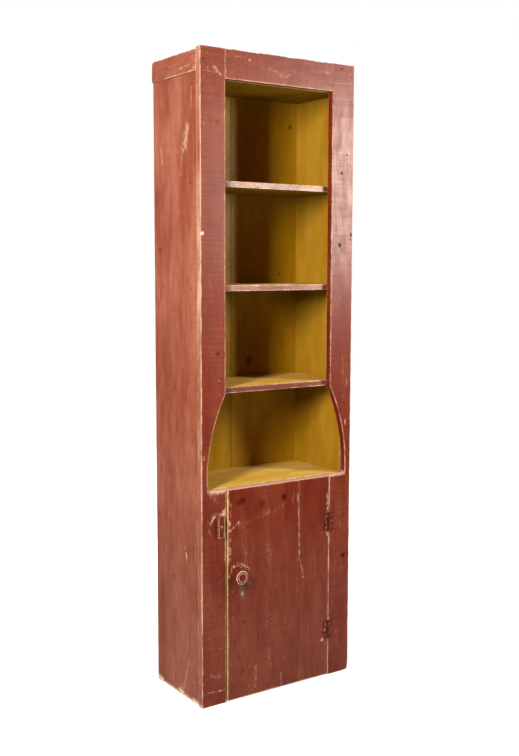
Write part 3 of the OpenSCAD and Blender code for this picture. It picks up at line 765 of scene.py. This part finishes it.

# The shelves, the counter and the top board, let into the sides and nailed. They are mustard with
# a red front edge that hands have rubbed between the stiles; on the higher shelves that edge is paler
# still, as painted sheen. Their tops are a paler mustard, rubbed and painted light from above, and
# their undersides and ends a darker one, painted shade. Two faces are bare: the top board's upper
# one, in the tray, and the counter's lower one, over the door.
RED_EDGE = {**RED, "top": "582414", "faded": "733d2b", "primer": "bca08c"}
red_edge = old_paint("barn_red_oil_paint_on_edges", roughness=0.28, gloss=0.18, saw=0.3, **RED_EDGE)
# The tops take a paler mustard, rubbed and painted light from above. The undersides and ends take a
# darker one, which is painted shade.
YELLOW_TOP_RUBBED_AND_LIT = {**YELLOW, "top": "bb8d2b", "faded": "cda554", "dark": "7e5a11"}
YELLOW_SHADED_UNDER = {**YELLOW, "top": "755306", "faded": "80610c", "dark": "2c1a02"}
mustard_rubbed_and_lit = old_paint("rubbed_mustard_oil_paint_with_painted_light", roughness=0.4, saw=0.3, **YELLOW_TOP_RUBBED_AND_LIT)
mustard_shaded_under = old_paint("mustard_oil_paint_with_painted_shade", roughness=0.5, gloss=0.1, saw=0.3, **YELLOW_SHADED_UNDER)
# How far each front edge is rubbed to the primer between the stiles. The three shelves' edges are paler
# the higher they stand: wear, and painted sheen as well.
EDGE_WEAR_AND_SHEEN = {"counter_shelf": 0.35, "lower_shelf": 0.06, "middle_shelf": 0.28, "upper_shelf": 0.5,
             "top_board": 0.0}
rubbed_half = 178 * MM


def shelf_board(node, edge_wear_and_sheen):
    """A painted shelf. edge_wear_and_sheen is how pale its front edge is made: rubbed, and on the higher
    shelves painted sheen as well.
    """
    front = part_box(node)[0].y

    def coat(p, n):
        """0 mustard darkened as painted shade below, 1 red on the front edge, 2 bare where nothing was
        painted, 3 the top, paler from rubbing and painted light.
        """
        if (node == "top_board" and n.z > -0.5) or (node == "counter_shelf" and n.z < -0.5):
            return 2
        return 1 if n.y < -0.35 else 3 if n.z > 0.5 else 0

    def rubbed(p):
        """The front edge is rubbed between the stiles, and there carries the painted sheen too."""
        return edge_wear_and_sheen if p.y < front + MM and abs(p.x) < rubbed_half else 0.0

    return sawn_board(node, 0, [mustard_shaded_under, red_edge, pine, mustard_rubbed_and_lit], coat, arris=1.0,
                      wear=0.5, rubbed=rubbed)


for node, edge_wear_and_sheen in EDGE_WEAR_AND_SHEEN.items():
    put(shelf_board(node, edge_wear_and_sheen), "carcass", "mustard_paint", node)

# The shelf and the floor inside the low cupboard, of the same sawn pine, let into the sides as the
# others are. They were never painted.
for node in ("inner_shelf", "floor_board"):
    put(sawn_board(node, 0, [pine], lambda p, n: 0, wear=0.5), "carcass", "bare_pine", node)

# The door, two sawn boards edge to edge. Its free edge shows the yellow of an older coat, and its
# top is rubbed pale. The knob and the turn button have worn arcs into the paint around them.
door_low, door_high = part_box("door_board_wide")
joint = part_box("door_board_narrow")[0].x
KNOB_SCREW = (120, 0, 386)
door_marks = button_scrapes + front_scrapes(
    (89, 640, 89, 430, 2.6, 0.6), (92, 640, 92, 545, 4, 0.7), (93, 450, 94, 424, 5, 0.8),
    (112, 533, 160, 541, 6, 0.4), (132, 534, 300, 578, 12, 0.3), (190, 90, 188, 26, 4, 0.5),
    (284, 44, 284, 12, 4, 0.55), (387, 184, 387, 112, 6, 0.35), (344, 606, 347, 540, 3, 0.75),
    (347, 540, 353, 420, 2.4, 0.6), (353, 420, 360, 366, 2.6, 0.7), (364, 366, 366, 338, 4.5, 0.9),
    (459, 590, 460, 520, 4, 0.8), (455, 470, 462, 460, 4, 1.2), (447, 124, 441, 118, 4.5, 1.4),
    (330, 615, 326, 580, 3.5, 0.5), (150, 470, 148, 390, 10, 0.3), (235, 470, 238, 410, 16, 0.25),
    (104, 300, 108, 240, 4, 0.35), (100, 416, 112, 414, 4, 0.9), (128, 414, 136, 408, 3.6, 0.8),
    (150, 410, 158, 404, 3.6, 0.8), (163, 402, 167, 394, 3, 0.7), (164, 361, 172, 354, 3, 1.1),
    (104, 402, 102, 380, 3, 0.9), (110, 348, 106, 330, 4, 0.6), (100, 130, 104, 60, 3, 0.4),
    (240, 130, 242, 70, 4, 0.35), (300, 250, 302, 180, 4, 0.3), (410, 420, 414, 330, 5, 0.3))
door_arcs = [(spot(*BUTTON_SCREW), 37, 3.4, -8, 30, 0.7)]
door_arcs += [(spot(*KNOB_SCREW), *mark) for mark in (
    (28, 3.0, 118, 50, 0.85), (25, 3.2, 185, 45, 0.85), (36, 3.0, 70, 34, 0.6), (31, 2.4, -60, 40, 0.5))]
door_knots = front_knots((141, 608, 13, 0.75), (128, 604, 10, 0.6), (213, 590, 13, 0.5),
                         (292, 601, 11, 0.95), (146, 236, 8, 0.45))
# Painted shadow of the knob under it and to its left, dark with the grime that hands have left
# there as well; a grey run below it, and the pale end of that run.
knob_shade_and_grime = [(front_scrapes((136, 364, 143, 352, 10, 0.85), (124, 360, 112, 330, 7, 0.4),
                              (98, 398, 100, 372, 5, 0.5)), "120603"),
               (front_scrapes((140, 348, 141, 312, 8, 0.5), (150, 366, 166, 350, 4, 0.5)), "544640"),
               (front_scrapes((140.5, 329, 141, 322, 2.4, 0.85)), "9c9088")]
DOOR_RED = {**RED, "top": "551201", "faded": "652612", "primer": "ac8064"}
# The door's red turns paler and browner below 0.6 m, most at its foot.
red_door = old_paint("barn_red_oil_paint_on_door", roughness=0.4, scrapes=door_marks,
                     arcs=door_arcs, knots=door_knots, smears=knob_shade_and_grime,
                     saw=0.4, height_tone=("6e4434", 0.6, 0.15, 0.3), **DOOR_RED)


def door_coat(p, n):
    """0 red on the face, the top and the other edges, 1 mustard on the free edge, 2 bare elsewhere."""
    if n.y < -0.4:
        return 0
    if p.x < door_low.x + 2 * MM and n.x < -0.6:
        return 1
    return 0 if n.z > 0.5 or abs(n.x) > 0.6 else 2


def door_wear(p):
    """Hands have rubbed the free edge most. The joint of the boards is worn in its upper half."""
    if p.x < door_low.x + 3 * MM:
        return 0.66
    if abs(p.x - joint) < 3 * MM:
        return 0.3 if p.z > 380 * MM else 0.15
    return 0.34


for node in ("door_board_wide", "door_board_narrow"):
    board = sawn_board(node, 2, [red_door, mustard_rubbed_and_lit, pine], door_coat, arris=1.0, wear=door_wear,
                       rubbed=lambda p: 1.0 if p.z > door_high.z - 1.5 * MM else 0.0)
    put(board, "door", "red_paint", node)

# Two battens nailed across the back of the door hold its boards together. Their back arrises are
# planed to a slope, and nothing is painted there.
chamfer = 5 * MM


def batten_board(node):
    """A batten with its back arrises sloped."""
    low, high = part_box(node)

    def sloped(p):
        """Brings the back face in from the batten's edges."""
        if p.y < high.y - NEAR:
            return p
        return Vector((p.x, p.y, min(max(p.z, low.z + chamfer), high.z - chamfer)))

    return sawn_board(node, 0, [pine], lambda p, n: 0, cuts=((), [high.y - chamfer], ()),
                      shape=sloped, arrises="all", arris=0.7, wear=0.5)


for node in ("upper_batten", "lower_batten"):
    put(batten_board(node), "door", "bare_pine", node)

# The knob, turned from one piece of wood: a bead for its foot, a cove, a thick rim with a turned
# ring, and a shallow dish in its face. Hands have worn its rim to the primer. The pale rings on the
# rim and on the ridge round the dish are rubbed paint and partly painted highlight.
GRIMY_RED = {**RED, "top": "4a0e02", "faded": "561c0e", "dark": "240502", "primer": "c0937a"}
red_turned = old_paint("grimy_barn_red_oil_paint", roughness=0.34, saw=0.0, **GRIMY_RED)


def arc(centre, radius, start, end, steps):
    """Places round a circle's arc in the knob's outline, from one angle to another, in degrees."""
    angles = [math.radians(start + (end - start) * i / steps) for i in range(steps + 1)]
    return [(centre[0] + radius * math.cos(a), centre[1] + radius * math.sin(a)) for a in angles]


knob_low, knob_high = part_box("door_knob")
knob_centre = (knob_low + knob_high) / 2
knob_reach = (knob_high.y - knob_low.y) / MM
knob_radius = (knob_high.x - knob_low.x) / 2 / MM
foot_bead, rim_bead, cove, ring_groove, ring_place = 2, 6, 6, 1.7, 16.1
foot_radius, neck_radius, pole = 12.5, 9, 0.01
ridge_outer, ridge_inner = 13.9, 12.4
dish_radius, dish_width = 30, 11.5
dish_depth = dish_radius - math.sqrt(dish_radius ** 2 - dish_width ** 2)
rim_foot = knob_reach - 2 * rim_bead
outline = [(pole, 0)] + arc((foot_radius, foot_bead), foot_bead, -90, 90, 8)
outline += arc((neck_radius + cove, rim_foot - cove), cove, 180, 90, 8)
outline += arc((knob_radius - rim_bead, knob_reach - rim_bead), rim_bead, -90, 72, 14)
outline += arc((ring_place, knob_reach - 0.3), ring_groove, 0, -180, 8)
outline += [(ridge_outer, knob_reach), (ridge_inner, knob_reach)]
outline += [(r, knob_reach - dish_depth + dish_radius - math.sqrt(dish_radius ** 2 - r * r))
            for r in (dish_width, 10, 8, 6, 4, 2, pole)]
rim_rub_and_highlight, rim_rub_and_highlight_half, ridge_rub_and_highlight, ridge_rub_and_highlight_half = 19.4, 1.7, 13.2, 1.4
face_rise = rim_foot + rim_bead
turned = bmesh.new()
grain_layer = turned.verts.layers.float_vector.new("grain")
worn_layer = turned.verts.layers.float.new("worn")
around = 96
rings = []
for radius, rise in outline:
    ring = []
    for i in range(around):
        angle = 2 * math.pi * i / around
        chip = 0.16 * noise.noise(Vector((3 * math.cos(angle), 3 * math.sin(angle), rise * 0.3)))
        vert = turned.verts.new((knob_centre.x + (radius - abs(chip)) * math.cos(angle) * MM,
                                 knob_high.y - rise * MM,
                                 knob_centre.z + (radius - abs(chip)) * math.sin(angle) * MM))
        on_rim = max(0.0, 1 - abs(radius - rim_rub_and_highlight) / rim_rub_and_highlight_half) * (rise > face_rise)
        on_ridge = max(0.0, 1 - abs(radius - ridge_rub_and_highlight) / ridge_rub_and_highlight_half) * (rise > face_rise)
        rubbing = 0.75 + 0.5 * noise.noise(Vector((2 * math.cos(angle), 2 * math.sin(angle), 4)))
        vert[worn_layer] = 1.7 * rubbing * max(on_rim, on_ridge) + 0.05 * (rise > rim_foot)
        vert[grain_layer] = vert.co + Vector((7.1, 3.3, 1.9))
        ring.append(vert)
    rings.append(ring)
for lower, upper in zip(rings, rings[1:]):
    for i in range(around):
        turned.faces.new((lower[i], lower[(i + 1) % around], upper[(i + 1) % around], upper[i]))
turned.faces.new(rings[0][::-1])
turned.faces.new(rings[-1])
bmesh.ops.recalc_face_normals(turned, faces=turned.faces)
for face in turned.faces:
    face.smooth = True
knob_mesh = bpy.data.meshes.new("turned_knob")
turned.to_mesh(knob_mesh)
turned.free()
knob_mesh.materials.append(red_turned)
knob = placed("turned_knob", knob_mesh)
put(knob, "door", "red_paint", "door_knob")

# The turn button, a slip of wood with one rounded end, on a round-headed screw. Hands have dirtied
# its red paint as they have the knob's, and rubbed all its arrises.
button_low, button_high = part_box("turn_button")
button_round = 8 * MM


def button_shape(p):
    """Rounds the button's upper end."""
    above = p.z - (button_high.z - button_round)
    if above <= 0:
        return p
    middle = (button_low.x + button_high.x) / 2
    half = (button_high.x - button_low.x) / 2
    reach = half - button_round + math.sqrt(max(0.0, button_round ** 2 - above ** 2))
    return Vector((middle + (p.x - middle) * reach / half, p.y, p.z))


button = sawn_board("turn_button", 2, [red_turned], lambda p, n: 0, shape=button_shape,
                    arrises="all", arris=1.6, wear=0.95, pitch=(1.6, 2.5))
put(button, "button", "red_paint", "turn_button")

# The butt hinges, of iron, painted over with the face frame. Their leaves and pins keep the exact
# forms that they came with, and only take the paint.


def iron_paint(name, coat, worn_coat, primer, roughness):
    """Paint on iron, thick and dark with dirt, flaked off in small chips down to an older coat."""
    material, tree, shader = new_material(name)
    place = add(tree, "ShaderNodeTexCoord").outputs["Object"]
    cloud = add(tree, "ShaderNodeTexNoise", {"Vector": place, "Scale": 1 / (7 * MM), "Detail": 3.0})
    faded = add(tree, "ShaderNodeMapRange", {"Value": cloud, "From Min": 0.42, "From Max": 0.62})
    chip = add(tree, "ShaderNodeTexNoise", {"Vector": place, "Scale": 1 / (3.2 * MM), "Detail": 4.0})
    flaked = add(tree, "ShaderNodeMapRange", {"Value": chip, "From Min": 0.64, "From Max": 0.69})
    layered(tree, shader, coat, ((faded, worn_coat), (flaked, primer)))
    bump = add(tree, "ShaderNodeBump", {"Height": flaked, "Distance": -0.2 * MM, "Strength": 0.8})
    tree.links.new(bump.outputs[0], shader.inputs["Normal"])
    shader.inputs["Roughness"].default_value = roughness
    shader.inputs["Specular IOR Level"].default_value = 0.12
    return material


def refinish(name, material):
    """Gives a piece that keeps its own form its material."""
    skins = nodes[name].data.materials
    skins.clear()
    skins.append(material)


painted_iron = iron_paint("iron_under_barn_red_oil_paint", "3c0c04", "5a1e10", "b07c60", 0.34)
# The screws take a paler paint: rubbed off their heads, and painted highlight for the glint there.
rubbed_iron_with_painted_glint = iron_paint("iron_with_rubbed_red_paint_and_painted_glint", "5c2a1c", "946450", "c09a80", 0.36)
for hinge in ("upper", "lower"):
    for part in ("frame_leaf", "door_leaf", "hinge_pin"):
        refinish(f"{hinge}_{part}", painted_iron)

# Nails and screws. The nails are driven flush and painted over in front, and left as dull iron
# behind. The hinges have three slotted, countersunk screws a leaf.
dull_iron, tree, skin = new_material("dull_rusted_iron")
rust = add(tree, "ShaderNodeTexNoise", {
    "Vector": add(tree, "ShaderNodeTexCoord").outputs["Object"], "Scale": 1 / (1.5 * MM), "Detail": 3.0})
rusted = add(tree, "ShaderNodeMapRange", {"Value": rust, "From Min": 0.4, "From Max": 0.62})
layered(tree, skin, "4a4640", ((rusted, "5e3a26"),))
skin.inputs["Metallic"].default_value = 0.6
skin.inputs["Roughness"].default_value = 0.55


def heads_of(*names):
    """Where the heads of the frame's nails or screws are, and the way that each one points in."""
    found = []
    for name in names:
        copy = bmesh.new()
        copy.from_mesh(nodes[name].data)
        bmesh.ops.remove_doubles(copy, verts=copy.verts, dist=NEAR)
        left = set(copy.verts)
        while left:
            grown = [left.pop()]
            for vert in grown:
                near = {e.other_vert(vert) for e in vert.link_edges} & left
                left -= near
                grown += near
            low = Vector([min(v.co[a] for v in grown) for a in range(3)])
            high = Vector([max(v.co[a] for v in grown) for a in range(3)])
            middle = (low + high) / 2
            axis = max(range(3), key=lambda a: high[a] - low[a])
            widest = max(grown, key=lambda v: (v.co - middle - (v.co[axis] - middle[axis])
                                               * Vector([a == axis for a in range(3)])).length)
            inward = Vector([0, 0, 0])
            inward[axis] = 1 if widest.co[axis] < middle[axis] else -1
            head = middle.copy()
            head[axis] = low[axis] if inward[axis] > 0 else high[axis]
            found.append((head, inward))
        copy.free()
    return sorted(found, key=lambda f: tuple(round(c, 5) for c in f[0]))


def fastener_tree(name, slotted):
    """Geometry Nodes that set a nail or a slotted screw at every point, head out, along 'into'."""
    group = bpy.data.node_groups.new(name, "GeometryNodeTree")
    group.interface.new_socket(name="Points", in_out="INPUT", socket_type="NodeSocketGeometry")
    for title, value in (
            ("Head radius", 2.9 * MM), ("Head thickness", 0.8 * MM), ("Shank radius", 1.4 * MM),
            ("Length", 44 * MM), ("Slot width", 0.9 * MM), ("Slot depth", 0.8 * MM)):
        socket = group.interface.new_socket(name=title, in_out="INPUT", socket_type="NodeSocketFloat")
        socket.default_value = value
    group.interface.new_socket(name="Finish", in_out="INPUT", socket_type="NodeSocketMaterial")
    group.interface.new_socket(name="Fasteners", in_out="OUTPUT", socket_type="NodeSocketGeometry")
    given = group.nodes.new("NodeGroupInput").outputs
    result = group.nodes.new("NodeGroupOutput")
    face_radius = add(group, "ShaderNodeMath", [given["Head radius"], 0.86], operation="MULTIPLY")
    under = given["Shank radius"] if slotted else given["Head radius"]
    face = given["Head radius"] if slotted else face_radius
    head = add(group, "GeometryNodeMeshCone", {
        "Vertices": 20, "Side Segments": 2, "Radius Top": under, "Radius Bottom": face,
        "Depth": given["Head thickness"]})
    head_solid = head.outputs["Mesh"]
    if slotted:
        length = add(group, "ShaderNodeMath", [given["Head radius"], 3.0], operation="MULTIPLY")
        depth = add(group, "ShaderNodeMath", [given["Slot depth"], 2.0], operation="MULTIPLY")
        size = add(group, "ShaderNodeCombineXYZ", {"X": length, "Y": given["Slot width"], "Z": depth})
        slot = add(group, "GeometryNodeMeshCube", {"Size": size})
        cut = add(group, "GeometryNodeMeshBoolean", {
            "Mesh 1": head_solid, "Mesh 2": slot.outputs["Mesh"]}, operation="DIFFERENCE")
        head_solid = cut.outputs["Mesh"]
    shank = add(group, "GeometryNodeMeshCone", {
        "Vertices": 12, "Radius Top": 0.3 * MM, "Radius Bottom": given["Shank radius"],
        "Depth": given["Length"]})
    sunk = add(group, "ShaderNodeCombineXYZ", {"Z": given["Head thickness"]})
    shank = add(group, "GeometryNodeTransform", {"Geometry": shank.outputs["Mesh"], "Translation": sunk})
    whole = add(group, "GeometryNodeJoinGeometry")
    group.links.new(head_solid, whole.inputs[0])
    group.links.new(shank.outputs[0], whole.inputs[0])
    into = add(group, "GeometryNodeInputNamedAttribute", {"Name": "into"}, data_type="FLOAT_VECTOR")
    aim = add(group, "FunctionNodeAlignRotationToVector", {"Vector": into.outputs["Attribute"]}, axis="Z")
    angle = add(group, "FunctionNodeRandomValue", {
        "Min": 0.0, "Max": math.pi, "Seed": 7}, data_type="FLOAT")
    spin = add(group, "FunctionNodeAxisAngleToRotation", {
        "Axis": (0, 0, 1), "Angle": [s for s in angle.outputs if s.enabled][0]})
    turned_in = add(group, "FunctionNodeRotateRotation", {
        "Rotation": aim, "Rotate By": spin}, rotation_space="LOCAL")
    driven = add(group, "GeometryNodeInstanceOnPoints", {
        "Points": given["Points"], "Instance": whole, "Rotation": turned_in})
    real = add(group, "GeometryNodeRealizeInstances", {"Geometry": driven})
    finished = add(group, "GeometryNodeSetMaterial", {"Geometry": real, "Material": given["Finish"]})
    group.links.new(finished.outputs[0], result.inputs[0])
    return group


def fasten(name, tree, heads, finish, sizes):
    """Runs the tree over the heads and keeps the result as one plain mesh."""
    points = bpy.data.meshes.new(name + "_places")
    points.from_pydata([head for head, inward in heads], [], [])
    into = points.attributes.new("into", "FLOAT_VECTOR", "POINT")
    for item, (head, inward) in zip(into.data, heads):
        item.vector = inward
    carrier = placed(name + "_places", points)
    modifier = carrier.modifiers.new("fasteners", "NODES")
    modifier.node_group = tree
    inputs = {s.name: s.identifier for s in tree.interface.items_tree if s.in_out == "INPUT"}
    for title, value in {**sizes, "Finish": finish}.items():
        modifier[inputs[title]] = value
    evaluated = carrier.evaluated_get(bpy.context.evaluated_depsgraph_get())
    made = bpy.data.meshes.new_from_object(evaluated)
    bpy.data.objects.remove(carrier)
    return placed(name, made)


nail_tree = fastener_tree("cut_nails", slotted=False)
screw_tree = fastener_tree("slotted_screws", slotted=True)
nail_sizes = {"Length": 43 * MM}
batten_nail_sizes = {"Length": 36 * MM}
screw_sizes = {"Head radius": 3.4 * MM, "Head thickness": 1.5 * MM, "Shank radius": 1.9 * MM,
               "Length": 13.5 * MM}
GROUPS = (
    ("painted_nails", "carcass", nail_tree, painted_iron, nail_sizes,
     ("frame_nails", "shelf_nails", "strip_nails")),
    ("back_nail_heads", "carcass", nail_tree, dull_iron, nail_sizes, ("back_nails",)),
    ("batten_nail_heads", "door", nail_tree, painted_iron, batten_nail_sizes, ("batten_nails",)),
    ("frame_hinge_screws", "carcass", screw_tree, rubbed_iron_with_painted_glint, screw_sizes, ("frame_leaf_screws",)),
    ("door_hinge_screws", "door", screw_tree, rubbed_iron_with_painted_glint, screw_sizes, ("door_leaf_screws",)),
)
for name, body, tree, finish, sizes, names in GROUPS:
    put(fasten(name, tree, heads_of(*names), finish, sizes), body, "iron_fasteners", *names)
refinish("knob_screw", dull_iron)
refinish("button_screw", rubbed_iron_with_painted_glint)
